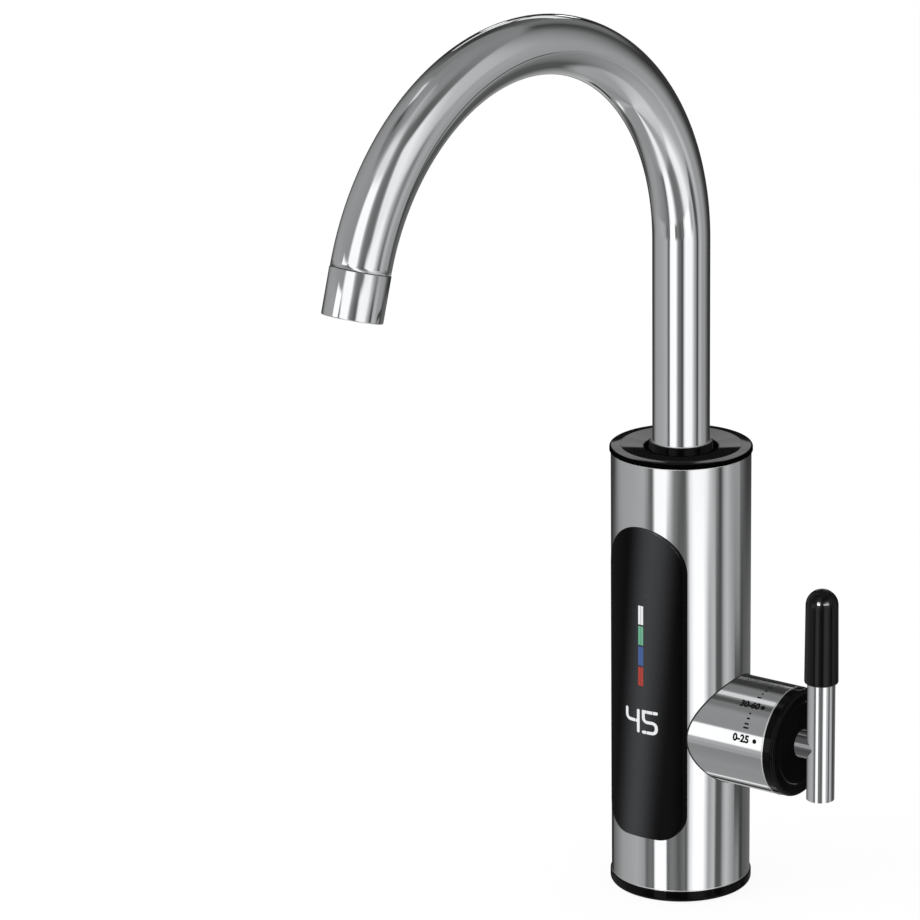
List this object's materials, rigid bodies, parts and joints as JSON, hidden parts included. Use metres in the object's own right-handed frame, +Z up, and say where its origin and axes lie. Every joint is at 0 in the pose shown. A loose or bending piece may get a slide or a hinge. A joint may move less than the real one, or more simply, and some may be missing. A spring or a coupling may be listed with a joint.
{
  "type": "electric instant water heater tap",
  "caption": "Upright instant water heater tap: steel body with a smoked display, side valve with an upright lever, and a tall swivel gooseneck spout.",
  "frame": {"origin": "centre of the foot's underside, at the mouth of the water inlet, on the body's axis", "axes": "+Z up along the body's axis; the display faces -Y; the side valve and its lever point along +X; the spout rests towards -Y, turned 6.2 degrees towards -X"},
  "size_m": [0.113, 0.2429, 0.4004],
  "materials": {
    "steel_shell": "polished stainless steel with fine rings of brushing",
    "steel_tube": "polished stainless tube",
    "black_gloss": "gloss black moulding",
    "black_grip": "satin black moulding",
    "black_plastic": "matt black moulding",
    "smoked_panel": "smoked gloss panel",
    "lens_white": "lit white light guide",
    "lens_green": "lit green light guide",
    "lens_blue": "lit blue light guide",
    "lens_red": "lit red light guide",
    "brass": "turned brass",
    "rubber": "black rubber",
    "white_plastic": "natural moulding",
    "ceramic": "lapped ceramic",
    "zinc_steel": "zinc plated steel",
    "circuit_board": "green circuit board",
    "relay_blue": "blue moulding",
    "terminal_green": "green moulding",
    "tank_alloy": "cast aluminium",
    "heater_sheath": "annealed steel sheath",
    "magnet": "sintered magnet"
  },
  "bodies": {
    "body": {"foot": "black_gloss", "deck_seal": "rubber", "inlet_fitting": "brass", "inlet_strainer": "zinc_steel", "inlet_screws": "zinc_steel", "cable_gland": "black_plastic", "gland_nut": "black_plastic", "shell": "steel_shell", "shell_screws": "zinc_steel", "flow_switch_body": "white_plastic", "flow_spring": "zinc_steel", "reed_switch": "black_plastic", "frame_plate": "zinc_steel", "control_board": "circuit_board", "relay": "relay_blue", "terminal_block": "terminal_green", "board_screws": "zinc_steel", "valve_body": "brass", "valve_collar": "black_plastic", "valve_sleeve": "steel_shell", "valve_end_cap": "black_gloss", "cartridge_body": "white_plastic", "cartridge_seal": "rubber", "fixed_disc": "ceramic", "cartridge_nut": "brass", "feed_pipe": "brass", "tank_body": "tank_alloy", "tank_seal": "rubber", "tank_lid": "tank_alloy", "tank_screws": "zinc_steel", "heating_element": "heater_sheath", "thermal_cutout": "black_plastic", "temperature_sensor": "zinc_steel", "spout_socket": "brass", "socket_screws": "zinc_steel", "spout_collar": "black_gloss", "top_cap": "black_gloss", "display_panel": "smoked_panel", "digit_lens": "lens_white", "bar_lens_white": "lens_white", "bar_lens_green": "lens_green", "bar_lens_blue": "lens_blue", "bar_lens_red": "lens_red", "display_carrier": "white_plastic", "display_board": "circuit_board", "led_modules": "white_plastic"},
    "spout": {"spout_tail": "brass", "spout_orings": "rubber", "spout_tube": "steel_tube", "aerator_housing": "steel_tube", "aerator_insert": "white_plastic", "aerator_washer": "rubber"},
    "lever": {"lever_neck": "steel_tube", "lever_rod": "steel_tube", "lever_grip": "black_grip", "lever_screw": "zinc_steel", "valve_stem": "brass", "moving_disc": "ceramic"},
    "piston": {"flow_piston": "white_plastic", "flow_magnet": "magnet"}
  },
  "joints": [
    {"name": "spout_swivel", "type": "hinge", "parent": "body", "child": "spout", "pos_m": [0, 0, 0.19], "axis": [0, 0, 1], "continuous": true},
    {"name": "lever_turn", "type": "hinge", "parent": "body", "child": "lever", "pos_m": [0.0645, 0, 0.0752], "axis": [1, 0, 0], "range_deg": [-90, 90]},
    {"name": "piston_lift", "type": "slide", "parent": "body", "child": "piston", "axis": [0, 0, 1], "range_m": [0, 0.005], "stiffness_N_per_m": 60, "springref_m": -0.002, "deforming": ["flow_spring"]}
  ]
}
